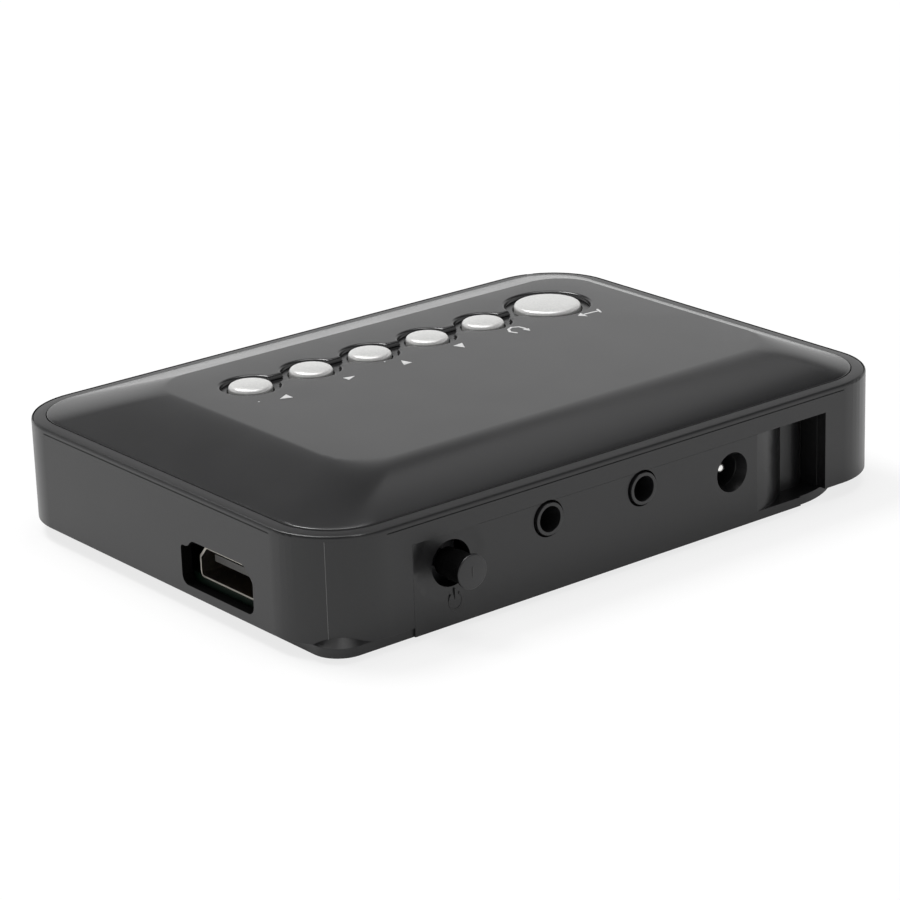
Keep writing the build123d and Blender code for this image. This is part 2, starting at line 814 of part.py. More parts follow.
def make_power_switch():
    """Body of the latching switch with the well that its stem runs in."""
    half = power_body_side / 2
    back = power_body_front + power_body_length
    body = block(power_x - half, power_x + half, power_body_front, back, board_top,
                 power_z + half)
    well = power_body_front + power_stem_depth + power_travel + running_gap
    return body - bar_y(power_x, power_z, power_body_front, well,
                        power_stem_radius + plunger_gap)


# ---------------------------------------------------------------- card and stick sockets
usb_mouth = -end_x - usb_face_recess
usb_rear = usb_mouth - usb_length


def make_usb_shell():
    """Folded shell of the memory stick socket."""
    y = face_y + usb_from_face
    half = usb_width / 2
    z1 = board_top + usb_height
    t = shell_thickness
    shell = block(usb_rear, usb_mouth, y - half, y + half, board_top, z1)
    return shell - block(usb_rear - wall, usb_mouth + wall, y - half + t, y + half - t,
                         board_top + t, z1 - t)


def make_usb_tongue():
    """Block and tongue inside the memory stick socket."""
    y = face_y + usb_from_face
    t = shell_thickness + screw_gap
    half = usb_width / 2 - t
    top = board_top + usb_height - t
    rear = block(usb_rear, usb_rear + usb_block, y - half, y + half, board_top + t, top)
    inner = usb_tongue_width / 2
    tongue = block(usb_rear + usb_block, usb_mouth - usb_tongue_recess, y - inner, y + inner,
                   top - usb_tongue_thickness, top)
    return rear + tongue


def make_card_socket():
    """Flat card socket, open towards the slot in the wall."""
    y = face_y + card_from_face
    x1 = -end_x - wall - socket_wall_gap
    x0 = x1 - card_socket_length
    half = card_socket_width / 2
    slot = card_slot_width / 2
    middle = board_top + card_socket_height / 2
    body = block(x0, x1, y - half, y + half, board_top, board_top + card_socket_height)
    return body - block(x1 - card_slot_length, x1, y - slot, y + slot,
                        middle - card_slot_height / 2, middle + card_slot_height / 2)


# ---------------------------------------------------------------- viewer's side pieces
window_x = end_x + window_from_end
window_z = rim_z - window_below_rim
front_inner = -face_y - wall


def make_receiver_window():
    """Tinted window with a flange behind the wall."""
    half = window_width / 2 - fit_gap
    tall = window_height / 2 - fit_gap
    pane = block(window_x - half, window_x + half, front_inner, -face_y,
                 window_z - tall, window_z + tall)
    edge = window_flange
    return pane + block(window_x - half - edge, window_x + half + edge,
                        front_inner - window_flange_thickness, front_inner,
                        window_z - tall - edge, window_z + tall + edge)


def make_receiver():
    """Remote-control receiver on the main board, its lens to the window."""
    back = front_inner - window_flange_thickness - receiver_depth - 2 * fit_gap
    half = receiver_width / 2
    body = block(window_x - half, window_x + half, back, back + receiver_depth / 2,
                 board_top, window_z + half)
    lens = Pos(window_x, back + receiver_depth / 2, window_z) * Sphere(receiver_depth / 2)
    return body + lens


def make_status_lamp():
    """Lamp through the wall, on a small block that stands on the board."""
    x = end_x + lamp_from_end
    half = lamp_block / 2
    back = front_inner - fit_gap - lamp_block
    lens = bar_y(x, window_z, back + lamp_block, -face_y, lamp_radius)
    return lens + block(x - half, x + half, back, back + lamp_block, board_top,
                        window_z + half)


# ---------------------------------------------------------------- parts on the main board
def on_board(at, side, height, lift=0.0):
    """A flat package on the main board."""
    z0 = board_top + lift
    return block(at[0] - side[0] / 2, at[0] + side[0] / 2, at[1] - side[1] / 2,
                 at[1] + side[1] / 2, z0, z0 + height)


def make_heat_sink():
    """Finned aluminium sink on the main chip."""
    side = (sink_side, sink_side)
    sink = on_board(chip_at, side, sink_base, chip_height)
    step = (sink_side - sink_fin_thickness) / (sink_fins - 1)
    for i in range(sink_fins):
        y = chip_at[1] + (i - (sink_fins - 1) / 2) * step
        sink += on_board((chip_at[0], y), (sink_side, sink_fin_thickness), sink_height, chip_height)
    return sink


def make_capacitors():
    """Upright can capacitors."""
    cans = [post(x, y, board_top, board_top + can_height, can_radius) for x, y in cans_at]
    return Compound([fillet(can.edges().group_by(Axis.Z)[-1], fine_round) for can in cans])


def make_coil():
    """Square power coil with rounded corners."""
    coil = on_board(coil_at, (coil_side, coil_side), coil_height)
    return fillet(coil.edges().filter_by(Axis.Z), coil_round)


def make_crystal():
    """Metal crystal can with round ends."""
    can = on_board(crystal_at, crystal_side, crystal_height)
    return fillet(can.edges().filter_by(Axis.Z), crystal_round)


header_y = key_y + header_from_keys


def make_headers():
    """Ribbon headers on the two boards."""
    lower = on_board((header_at_x, header_y), (header_width, header_depth), header_height)
    gap = key_board_bottom - header_height - board_top
    upper = on_board((header_at_x, header_y), (header_width, header_depth), header_height, gap)
    return Compound([lower, upper])


def make_ribbon():
    """Short flat cable between the two headers."""
    lift = header_height
    height = key_board_bottom - board_top - 2 * header_height
    return on_board((header_at_x, header_y), (ribbon_width, ribbon_thickness), height, lift)


# ---------------------------------------------------------------- build
save(make_case_wall(), "case_wall")
save(make_top_cover(), "top_cover")
save(make_base_plate(), "base_plate")
for number, (foot_x, foot_y) in enumerate(foot_spots(), 1):
    save(make_foot(foot_x, foot_y), f"foot_{number}")
save(make_cover_screws(), "cover_screws")

for number, x in enumerate(key_x, 1):
    save(make_key(x, key_radius), f"key_cap_{number}")
    save(make_plunger(x), f"key_plunger_{number}")
    save(make_key_switch(x), f"key_switch_{number}")
save(make_key(enter_x, enter_key_radius), "enter_key_cap")
save(make_plunger(enter_x), "enter_key_plunger")
save(make_key_switch(enter_x), "enter_key_switch")
save(make_key_board(), "key_board")
save(make_key_board_screws(), "key_board_screws")

save(make_main_board(), "main_board")
save(make_board_screws(), "board_screws")
save(make_hdmi_shell(), "hdmi_shell")
save(make_hdmi_tongue(), "hdmi_tongue")
save(make_hdmi_contacts(), "hdmi_contacts")
save(make_audio_body(audio_from_end), "audio_socket_body")
save(make_audio_contacts(audio_from_end), "audio_socket_contacts")
save(make_audio_body(component_from_end), "component_socket_body")
save(make_audio_contacts(component_from_end), "component_socket_contacts")
save(make_dc_body(), "supply_socket_body")
save(make_dc_pin(), "supply_socket_pin")
save(make_power_switch(), "power_switch_body")
save(make_power_stem(), "power_switch_stem")
save(make_power_cap(), "power_button_cap")
save(make_usb_shell(), "usb_shell")
save(make_usb_tongue(), "usb_tongue")
save(make_card_socket(), "card_socket")

save(make_receiver_window(), "receiver_window")
save(make_receiver(), "remote_receiver")
save(make_status_lamp(), "status_lamp")

save(on_board(chip_at, (chip_side, chip_side), chip_height), "main_chip")
save(make_heat_sink(), "heat_sink")
save(Compound([on_board(at, memory_side, memory_height) for at in memory_at]), "memory_chips")
save(on_board(flash_at, flash_side, memory_height), "flash_chip")
save(make_coil(), "power_coil")
save(make_capacitors(), "board_capacitors")
save(make_crystal(), "clock_crystal")
save(make_headers(), "ribbon_headers")
save(make_ribbon(), "key_ribbon")
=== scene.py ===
import json

import bmesh
import bpy
import numpy as np
from mathutils import Matrix
from mathutils.geometry import delaunay_2d_cdt


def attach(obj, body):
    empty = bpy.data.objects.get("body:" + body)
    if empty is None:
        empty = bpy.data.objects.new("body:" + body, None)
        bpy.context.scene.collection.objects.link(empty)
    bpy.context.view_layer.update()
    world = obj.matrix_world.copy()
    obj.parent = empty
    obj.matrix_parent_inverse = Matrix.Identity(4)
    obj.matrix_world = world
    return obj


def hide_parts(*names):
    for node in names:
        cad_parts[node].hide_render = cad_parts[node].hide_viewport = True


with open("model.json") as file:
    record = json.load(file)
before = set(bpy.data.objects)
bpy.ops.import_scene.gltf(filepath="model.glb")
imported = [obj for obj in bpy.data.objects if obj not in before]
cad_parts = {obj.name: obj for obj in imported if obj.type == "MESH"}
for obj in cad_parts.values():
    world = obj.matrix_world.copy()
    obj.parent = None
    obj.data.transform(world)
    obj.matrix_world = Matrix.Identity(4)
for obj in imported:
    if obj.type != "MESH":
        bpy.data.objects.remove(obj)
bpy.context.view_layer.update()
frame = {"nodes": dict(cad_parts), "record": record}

bpy.context.scene.view_settings.view_transform = "Standard"

# ---------------------------------------------------------------- studio
# A pale floor in a room whose white walls end at eye height: bright up to some
# 22 degrees, dim above, bright again overhead.  Two soft lamps give the even
# light, and a weak third behind the case lights its near slope and corner.


def tone(code):
    """An sRGB hex colour as linear red, green, blue and full cover."""
    s = np.array([int(code[i:i + 2], 16) for i in (1, 3, 5)]) / 255
    lin = np.where(s <= 0.04045, s / 12.92, ((s + 0.055) / 1.055) ** 2.4)
    return (*lin.tolist(), 1.0)


def add(tree, kind, settings=None, **sockets):
    """One node with its settings; sockets take a value or another node's output."""
    made = tree.nodes.new(kind)
    for name, value in (settings or {}).items():
        setattr(made, name, value)
    for name, value in sockets.items():
        socket = made.inputs[int(name[1:]) if name[1:].isdigit() else name.replace("_", " ")]
        if isinstance(value, bpy.types.NodeSocket):
            tree.links.new(value, socket)
        else:
            socket.default_value = value
    return made


def ramp(tree, value, stops):
    """A colour ramp over value, with (place, hex colour) stops."""
    made = add(tree, "ShaderNodeValToRGB", Fac=value)
    bar = made.color_ramp
    bar.elements.remove(bar.elements[1])
    bar.elements[0].position, bar.elements[0].color = stops[0][0], tone(stops[0][1])
    for place, code in stops[1:]:
        bar.elements.new(place).color = tone(code)
    return made.outputs["Color"]


def start_material(name):
    """A new node material: (material, tree, shader)."""
    made = bpy.data.materials.new(name)
    made.use_nodes = True
    return made, made.node_tree, made.node_tree.nodes["Principled BSDF"]


world = bpy.data.worlds.new("room")
bpy.context.scene.world = world
world.use_nodes = True
sky = world.node_tree
direction = add(sky, "ShaderNodeTexCoord").outputs["Generated"]
height = add(sky, "ShaderNodeSeparateXYZ", Vector=direction).outputs["Z"]
daylight = ramp(sky, height, [(0.0, "#dcdcdc"), (0.10, "#ebebeb"), (0.36, "#e6e6e6"),
                              (0.50, "#606060"), (0.80, "#5a5a5a"), (0.90, "#ffffff"),
                              (1.0, "#ffffff")])
sky.nodes["Background"].inputs["Strength"].default_value = 1.0
sky.links.new(daylight, sky.nodes["Background"].inputs["Color"])

floor_mesh = bpy.data.meshes.new("floor")
floor_mesh.from_pydata([(-3, -3, 0), (3, -3, 0), (3, 3, 0), (-3, 3, 0)], [], [(0, 1, 2, 3)])
floor = bpy.data.objects.new("floor", floor_mesh)
bpy.context.scene.collection.objects.link(floor)
paper, tree, shader = start_material("white seamless paper")
shader.inputs["Base Color"].default_value = tone("#f2f2f2")
shader.inputs["Roughness"].default_value = 0.9
path = add(tree, "ShaderNodeLightPath")
seen = add(tree, "ShaderNodeMath", {"operation": "MAXIMUM"},
           _0=path.outputs["Is Camera Ray"], _1=path.outputs["Is Transmission Ray"])
plain = add(tree, "ShaderNodeMath", {"operation": "MULTIPLY"}, _0=seen.outputs[0], _1=0.78)
mirrored = add(tree, "ShaderNodeMath", {"operation": "MULTIPLY"},
               _0=path.outputs["Is Glossy Ray"], _1=0.3)
share = add(tree, "ShaderNodeMath", {"operation": "MAXIMUM"}, _0=plain.outputs[0],
            _1=mirrored.outputs[0])
glow = add(tree, "ShaderNodeEmission", Color=(1, 1, 1, 1), Strength=1.0)
both = add(tree, "ShaderNodeMixShader", _0=share.outputs[0],
           _1=shader.outputs["BSDF"], _2=glow.outputs[0])
tree.links.new(both.outputs[0], tree.nodes["Material Output"].inputs["Surface"])
floor_mesh.materials.append(paper)


def soft_lamp(name, place, aim, size, watts):
    """A square lamp at place that faces aim."""
    lamp = bpy.data.lights.new(name, "AREA")
    lamp.shape = "SQUARE"
    lamp.size = size
    lamp.energy = watts
    held = bpy.data.objects.new(name, lamp)
    bpy.context.scene.collection.objects.link(held)
    back = np.subtract(place, aim) / np.linalg.norm(np.subtract(place, aim))
    side = np.cross((0, 0, 1), back)
    side /= np.linalg.norm(side)
    turn = np.eye(4)
    turn[:3, 0], turn[:3, 1], turn[:3, 2], turn[:3, 3] = side, np.cross(back, side), back, place
    held.matrix_world = Matrix(turn.tolist())


soft_lamp("window side lamp", (-0.15, 0.65, 1.25), (0, 0, 0.02), 0.5, 13.0)
soft_lamp("top lamp", (0.15, 0.0, 1.5), (0, 0, 0.02), 0.6, 5.0)
soft_lamp("back lamp", (0.9, 0.6, 1.0), (0, 0, 0.02), 0.45, 0.35)

# ---------------------------------------------------------------- camera
# Stands where the photograph was taken from: its place, its three axes and
# its long lens come from the case's edges in the picture.
camera = bpy.data.objects.new("camera", bpy.data.cameras.new("camera"))
bpy.context.scene.collection.objects.link(camera)
camera.data.sensor_width = 36.0
camera.data.lens = 129.8
camera.data.clip_start = 0.01
camera.data.clip_end = 20.0
camera.matrix_world = Matrix((
    (0.77567, 0.23378, -0.58625, -0.32935),
    (-0.63040, 0.24190, -0.73763, -0.41069),
    (-0.03063, 0.94172, 0.33501, 0.19721),
    (0, 0, 0, 1)))
bpy.context.scene.camera = camera

# ---------------------------------------------------------------- case wall
# The ring-shaped side wall, and the base whose upright panel fills a notch in
# it: black ABS, moulded in a spark-eroded tool, so both have a fine even grain
# and a dull sheen.  Edges are broken by 0.1 mm on the wall, 0.04 on the base.


def moulded(name, colour, rough, grain_mm, depth_mm, lift=0.25, ior=1.5):
    """Moulded plastic: grain_mm is the texture's width, depth_mm its height.

    Two noises give the shade and the roughness a little life: one as wide as
    the grain, one of 12 mm for the flow of the melt.
    """
    made, tree, shader = start_material(name)
    place = add(tree, "ShaderNodeTexCoord").outputs["Object"]
    grain = add(tree, "ShaderNodeTexNoise", Vector=place, Scale=1000 / grain_mm, Detail=2.0)
    flow = add(tree, "ShaderNodeTexNoise", Vector=place, Scale=1000 / 12, Detail=3.0)
    dark = [c * (1 - lift) for c in tone(colour)[:3]]
    light = [c * (1 + lift) for c in tone(colour)[:3]]
    shade = add(tree, "ShaderNodeMix", {"data_type": "RGBA"}, _0=grain.outputs["Fac"],
                _6=(*dark, 1), _7=(*light, 1))
    tree.links.new(shade.outputs[2], shader.inputs["Base Color"])
    dull = add(tree, "ShaderNodeMapRange", Value=flow.outputs["Fac"],
               _3=rough - 0.03, _4=rough + 0.03)
    tree.links.new(dull.outputs[0], shader.inputs["Roughness"])
    bump = add(tree, "ShaderNodeBump", Height=grain.outputs["Fac"], Distance=depth_mm / 1000,
               Strength=1.0)
    tree.links.new(bump.outputs[0], shader.inputs["Normal"])
    shader.inputs["IOR"].default_value = ior
    return made


def finish_mesh(mesh, angle=35):
    """Smooth faces with the edges sharper than angle kept crisp."""
    mesh.shade_smooth()
    mesh.set_sharp_from_angle(angle=np.radians(angle))


def place_piece(name, mesh, material, body, stands_for=()):
    """Link a piece, give it its material and body, and hide the CAD nodes it stands for."""
    piece = bpy.data.objects.new(name, mesh)
    bpy.context.scene.collection.objects.link(piece)
    mesh.materials.clear()
    mesh.materials.append(material)
    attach(piece, body)
    if stands_for:
        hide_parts(*stands_for)
    return piece


def shade_evenly(piece):
    """Normals weighted by face area, so that flats stay flat beside small rounds."""
    even = piece.modifiers.new("even shading", "WEIGHTED_NORMAL")
    even.mode = "FACE_AREA"
    even.weight = 90
    even.keep_sharp = True


def soften(piece):
    """A bevel of 1 mm times each edge's weight, and even shading."""
    bevel = piece.modifiers.new("edges", "BEVEL")
    bevel.width = 0.001
    bevel.segments = 3
    bevel.limit_method = "WEIGHT"
    bevel.miter_outer = "MITER_ARC"
    shade_evenly(piece)


def from_solid(node, name, material, body, width_mm, carve=None, width_at=None):
    """A piece over a CAD node: its copy, merged, flat faces joined, edges broken.

    carve may change the merged mesh before its edges are broken, and width_at
    may give another width in mm for an edge, from the edge's middle.
    """
    mesh = frame["nodes"][node].data.copy()
    mesh.name = name
    work = bmesh.new()
    work.from_mesh(mesh)
    bmesh.ops.remove_doubles(work, verts=work.verts, dist=2e-6)
    bmesh.ops.dissolve_limit(work, angle_limit=np.radians(0.4), verts=work.verts,
                             edges=work.edges, use_dissolve_boundaries=False)
    if carve:
        carve(work)
    weight = work.edges.layers.float.new("bevel_weight_edge")
    for edge in work.edges:
        if len(edge.link_faces) == 2 and edge.calc_face_angle(0) > np.radians(30):
            a, b = (np.array(v.co) * 1000 for v in edge.verts)
            special = width_at((a + b) / 2) if width_at else None
            edge[weight] = width_mm if special is None else special
    work.to_mesh(mesh)
    work.free()
    finish_mesh(mesh)
    piece = place_piece(name, mesh, material, body, [node])
    soften(piece)
    return piece


def shade_within(piece, material, low, high, axis):
    """Give another material to the faces inside a box of mm that don't face an axis."""
    mesh = piece.data
    mesh.materials.append(material)
    count = len(mesh.polygons)
    middle, normal = np.empty(count * 3), np.empty(count * 3)
    mesh.polygons.foreach_get("center", middle)
    mesh.polygons.foreach_get("normal", normal)
    middle, normal = middle.reshape(-1, 3) * 1000, normal.reshape(-1, 3)
    chosen = ((middle > low) & (middle < high)).all(1) & (abs(normal[:, axis]) < 0.6)
    index = np.zeros(count, int)
    mesh.polygons.foreach_get("material_index", index)
    index[chosen] = len(mesh.materials) - 1
    mesh.polygons.foreach_set("material_index", index)


# The display socket's opening in the wall: where it lies, and its corners' round.
OPENING_Y, OPENING_Z, OPENING_ROUND = (-25.0, -4.5), (4.0, 12.4), 0.6


def round_display_opening(work):
    """Round the corners of the display socket's opening."""
    corners = []
    for edge in work.edges:
        a, b = np.array(edge.verts[0].co) * 1000, np.array(edge.verts[1].co) * 1000
        middle, run = (a + b) / 2, abs(b - a)
        through = run[0] > 1.5 and run[1] < 0.01 and run[2] < 0.01 and middle[0] < -60
        if through and OPENING_Y[0] < middle[1] < OPENING_Y[1] \
                and OPENING_Z[0] < middle[2] < OPENING_Z[1]:
            corners.append(edge)
    bmesh.ops.bevel(work, geom=corners, offset=OPENING_ROUND / 1000, segments=4,
                    affect="EDGES", profile=0.5)


RIM_TOP, RIM_FOOT = 20.5, 19.4     # the wall's last millimetre is the rim, a piece of its own
PANEL_Y, PANEL_TOP = -42.45, 16.45
FLUSH = 0.006                      # bevel where two pieces meet flush
BUTTON = (-36.9, 11.25)            # x and z of the power button's axis
SUPPLY = (23.2, 11.15)             # and of the supply socket's


def shape_wall(work):
    """Round the display opening and lower the flat top to where the rim starts."""
    round_display_opening(work)
    for v in work.verts:
        if v.co.z > (RIM_TOP - 0.1) / 1000:
            v.co.z = RIM_FOOT / 1000


def wall_edges(middle):
    """Next to no bevel where the rim and the panel meet the wall flush."""
    x, y, z = middle
    by_panel = y < PANEL_Y + 0.15 and abs(z - PANEL_TOP) < 0.2 and -44.9 < x < 46
    return FLUSH if z > RIM_FOOT - 0.05 or by_panel else None


def shape_base(work):
    """Shallow the hollow round the button and taper the supply socket's hole inwards.

    The hollow's depth is cut to 0.4 of itself up to 4.2 mm from the button's
    axis, and less and less from there to 7 mm.
    """
    for v in work.verts:
        x, y, z = np.array(v.co) * 1000
        near = np.hypot(x - BUTTON[0], z - BUTTON[1])
        if PANEL_Y + 0.01 < y < -41.0 and near < 7:
            ease = np.clip((near - 4.2) / 2.8, 0, 1)
            v.co.y = (PANEL_Y + (y - PANEL_Y) * (0.4 + 0.6 * ease)) / 1000
        reach = np.hypot(x - SUPPLY[0], z - SUPPLY[1])
        if PANEL_Y + 0.25 < y < -40.0 and reach < 3.6:
            v.co.x = (SUPPLY[0] + (x - SUPPLY[0]) * 2.75 / reach) / 1000
            v.co.z = (SUPPLY[1] + (z - SUPPLY[1]) * 2.75 / reach) / 1000


def base_edges(middle):
    """Next to no bevel along the panel's flush seam with the wall."""
    return FLUSH if middle[1] < PANEL_Y + 0.15 and middle[2] > 16.0 else None


wall_plastic = moulded("spark-eroded black ABS", "#151516", 0.33, 0.4, 0.005, 0.2, 1.5)
# Painted shade: a near-black rough plastic with a weak reflection, for faces inside holes and the
# button's side.
hole_shade_plastic = moulded("black ABS painted dark as shade in holes", "#050505", 0.9, 0.4, 0.02, 0.2, 1.15)
side_wall = from_solid("case_wall", "side_wall", wall_plastic, "case", 0.1,
                       shape_wall, wall_edges)
# painted shade: the display opening's inner faces take the near-black plastic
shade_within(side_wall, hole_shade_plastic, (-62.4, -25, 3.9), (-60.4, -4.5, 12.5), 0)
base = from_solid("base_plate", "base_and_panel", wall_plastic, "case", 0.04,
                  shape_base, base_edges)
# painted shade: the faces round the button's hole in the panel take the near-black plastic
shade_within(base, hole_shade_plastic, (-41.5, -42.4, 7.0), (-32.5, -40.4, 15.4), 1)

# ---------------------------------------------------------------- cover
# The domed lid: one thin black ABS moulding in a smoother satin finish.  Its
# sides rise from a narrow groove to a flat top, and a sunk track of joined
# rings runs round the keys.

CASE_X = (-62.5, 62.5)
CASE_Y = (-42.5, 47.5)
EDGE_IN, CORNER_IN = 2.6, 10.4
EDGE_Z, TOP_Z, SEAT_Z, DISH_Z = 20.65, 24.25, 18.4, 23.35
FLAT_IN = (20.0, 11.75, 17.0, 15.5)
FLAT_CORNER = 8.0
SLOPE_POWER = (1.02, 1.02, 1.2, 1.8)        # at +X, +Y, -X and -Y


def plan(insets, radius, arc=24, side=14):
    """Closed loops round the case's plan, one row for each row of insets.

    insets is rows x 4 (-X, +X, -Y, +Y) and radius one corner radius a row.
    Each loop is four arcs of arc points joined by side points on the straights.
    """
    insets = np.atleast_2d(insets).astype(float)
    r = np.broadcast_to(np.asarray(radius, float), insets.shape[:1])[:, None]
    x0, x1 = CASE_X[0] + insets[:, :1] + r, CASE_X[1] - insets[:, 1:2] - r
    y0, y1 = CASE_Y[0] + insets[:, 2:3] + r, CASE_Y[1] - insets[:, 3:] - r
    centres = [(x1, y1), (x0, y1), (x0, y0), (x1, y0)]
    rows = []
    for i, (cx, cy) in enumerate(centres):
        a = (np.linspace(0, 1, arc) + i) * np.pi / 2
        bow = np.stack([cx + r * np.cos(a), cy + r * np.sin(a)], -1)
        nx, ny = centres[(i + 1) % 4]
        turn = (i + 1) * np.pi / 2
        ahead = np.stack([nx + r * np.cos(turn), ny + r * np.sin(turn)], -1)
        t = np.linspace(0, 1, side + 2)[1:-1, None]
        rows += [bow, bow[:, -1:] * (1 - t) + ahead * t]
    return np.concatenate(rows, 1)


def lift(loops, heights):
    """Plan loops with a height for each row, or for each point, as 3-D points."""
    z = np.broadcast_to(np.asarray(heights, float).reshape(len(loops), -1), loops.shape[:2])
    return np.concatenate([loops, z[..., None]], -1)


def weave(grid, wrap=True):
    """Quads over a grid of points, its columns joined round if wrap is true."""
    m, n = grid.shape[:2]
    i = np.arange(m * n).reshape(m, n)
    right = np.roll(i, -1, 1)
    if not wrap:
        i, right = i[:, :-1], right[:, :-1]
    quads = np.stack([i[:-1], right[:-1], right[1:], i[1:]], -1).reshape(-1, 4)
    return grid.reshape(-1, 3), quads


def fill(outer, holes, z):
    """The flat between one outer loop and some holes, as triangles at height z."""
    loops = [outer] + list(holes)
    points = np.concatenate(loops)
    edges, start = [], 0
    for loop in loops:
        i = np.arange(len(loop)) + start
        edges += list(zip(i.tolist(), np.roll(i, -1).tolist()))
        start += len(loop)
    made, _, faces, *_ = delaunay_2d_cdt([tuple(p) for p in points.tolist()], edges, [], 1, 1e-6)
    made = np.array([tuple(p) for p in made])
    faces = np.array(faces)
    middle = made[faces].mean(1)
    keep = inside(middle, outer)
    for hole in holes:
        keep &= ~inside(middle, hole)
    flat = np.concatenate([made, np.full((len(made), 1), z)], 1)
    return flat, faces[keep]


def inside(points, loop):
    """Which points lie in a closed loop, by counting the edges that a ray crosses."""
    a, b = loop[None], np.roll(loop, -1, 0)[None]
    x, y = points[:, :1], points[:, 1:]
    spans = (a[..., 1] > y) != (b[..., 1] > y)
    run = np.where(spans, b[..., 1] - a[..., 1], 1.0)
    cross = a[..., 0] + (y - a[..., 1]) * (b[..., 0] - a[..., 0]) / run
    return (spans & (x < cross)).sum(1) % 2 == 1


def assemble(name, parts, angle=35):
    """One closed-up mesh from (points in mm, faces) parts, normals made to agree."""
    points = np.concatenate([p for p, _ in parts]) / 1000
    faces, start = [], 0
    for p, f in parts:
        faces += (np.asarray(f) + start).tolist()
        start += len(p)
    mesh = bpy.data.meshes.new(name)
    mesh.from_pydata(points, [], faces)
    work = bmesh.new()
    work.from_mesh(mesh)
    bmesh.ops.remove_doubles(work, verts=work.verts, dist=2e-7)
    bmesh.ops.dissolve_degenerate(work, edges=work.edges, dist=1e-8)
    bmesh.ops.recalc_face_normals(work, faces=work.faces)
    work.to_mesh(mesh)
    work.free()
    finish_mesh(mesh, angle)
    return mesh


KEY_Y = 19.25
KEYS = [(-30.4, 3.7, 5.2), (-17.6, 3.7, 5.2), (-4.8, 3.7, 5.2), (8.0, 3.7, 5.2),
        (20.8, 3.7, 5.2), (36.0, 6.0, 7.8)]


def track(grow, arc=40):
    """Outline of the sunk track: rings round the keys joined by short channels.

    Upper arcs left to right, then the same below, mirrored; grow moves it out.
    """
    half = 1.6 + grow
    upper = []
    for i, (x, _, ring) in enumerate(KEYS):
        r = ring + grow
        gap = np.arcsin(half / r)
        first = np.pi if i == 0 else np.pi - gap
        last = 0.0 if i == len(KEYS) - 1 else gap
        a = np.linspace(first, last, arc)
        upper.append(np.stack([x + r * np.cos(a), r * np.sin(a)], -1))
    upper = np.concatenate(upper)
    lower = upper[::-1][1:-1] * (1, -1)
    return np.concatenate([upper, lower]) + (0, KEY_Y)


def circle(x, y, r, n=72):
    """A closed loop of n points."""
    a = np.linspace(0, 2 * np.pi, n, endpoint=False)
    return np.stack([x + r * np.cos(a), y + r * np.sin(a)], -1)


def facing(arc=24, side=14):
    """Outward direction of each plan column: a quarter turn over each arc."""
    turns = []
    for i in range(4):
        turns += [(np.linspace(0, 1, arc) + i) * np.pi / 2, np.full(side, (i + 1) * np.pi / 2)]
    return np.concatenate(turns)


def slope_rows():
    """Cover from its seat up its edge, over a small round and up the slope.

    Height on the slope is 1 - (1 - t) ** p of the rise, so it eases into the
    flat; t runs from the edge to the flat.  p is each side's own, and round a
    corner the two are mixed by the squares of the direction's cosine and sine.
    """
    c, s = np.cos(facing()), np.sin(facing())
    east, north, west, south = SLOPE_POWER
    power = c ** 2 * np.where(c > 0, east, west) + s ** 2 * np.where(s > 0, north, south)
    t = np.linspace(0, 1, 26)
    edge = np.full(4, EDGE_IN)
    insets = edge + t[:, None] * (np.array(FLAT_IN) - edge)
    radius = CORNER_IN * (1 - t) + FLAT_CORNER * t
    loops = plan(insets, radius)
    heights = EDGE_Z + (TOP_Z - EDGE_Z) * (1 - (1 - t[:, None]) ** power)
    slope = lift(loops, heights)
    round_in = np.array([0.0, 0.0, 0.02, 0.08, 0.2])
    low = plan(edge + round_in[:, None], CORNER_IN - round_in)
    low = lift(low, [SEAT_Z, EDGE_Z - 0.25, EDGE_Z - 0.12, EDGE_Z - 0.03, EDGE_Z + 0.05])
    return np.concatenate([low, slope[1:]])


def cover_mesh():
    """Slope, flat, track and key holes as one skin."""
    slope = slope_rows()
    a = np.linspace(0, np.pi / 2, 7)
    grow = np.concatenate([0.5 - 0.5 * np.sin(a), 0.15 * np.cos(a[::-1]) - 0.15])
    z = np.concatenate([TOP_Z - 0.5 + 0.5 * np.cos(a), DISH_Z + 0.15 - 0.15 * np.sin(a)])
    walls = np.stack([np.c_[track(g), np.full(len(track(0)), h)] for g, h in zip(grow, z)])
    parts = [weave(slope), weave(walls),
             fill(slope[-1][:, :2], [walls[0][:, :2]], TOP_Z)]
    holes = []
    for x, r, _ in KEYS:
        lip = [(r + 0.5, DISH_Z), (r + 0.4, DISH_Z - 0.04), (r + 0.35, DISH_Z - 0.14),
               (r + 0.35, DISH_Z - 0.7)]
        holes.append(circle(x, KEY_Y, lip[0][0]))
        rows = [np.c_[circle(x, KEY_Y, q), np.full(72, h)] for q, h in lip]
        parts.append(weave(np.stack(rows)))
    parts.append(fill(walls[-1][:, :2], holes, DISH_Z))
    return assemble("lid", parts, 25)


cover_plastic = moulded("satin black ABS", "#19191a", 0.24, 0.35, 0.002, 0.15, 1.58)
lid = place_piece("lid", cover_mesh(), cover_plastic, "case", ["top_cover"])
thick = lid.modifiers.new("wall", "SOLIDIFY")
thick.thickness = 0.0009
thick.offset = -1
shade_evenly(lid)

# ---------------------------------------------------------------- rim and corner
# The wall's rim falls a little from the lid's groove and rolls over into the
# side.  At the near corner the base stands out past the wall, with a sloping
# land on the step.
WALL_ROUND, BASE_ROUND, BASE_TOP = 13.0, 5.0, 2.6     # corner rounds in plan, base's height
CORNER = np.array([CASE_X[0] + WALL_ROUND, CASE_Y[0] + WALL_ROUND])   # the near arc's centre


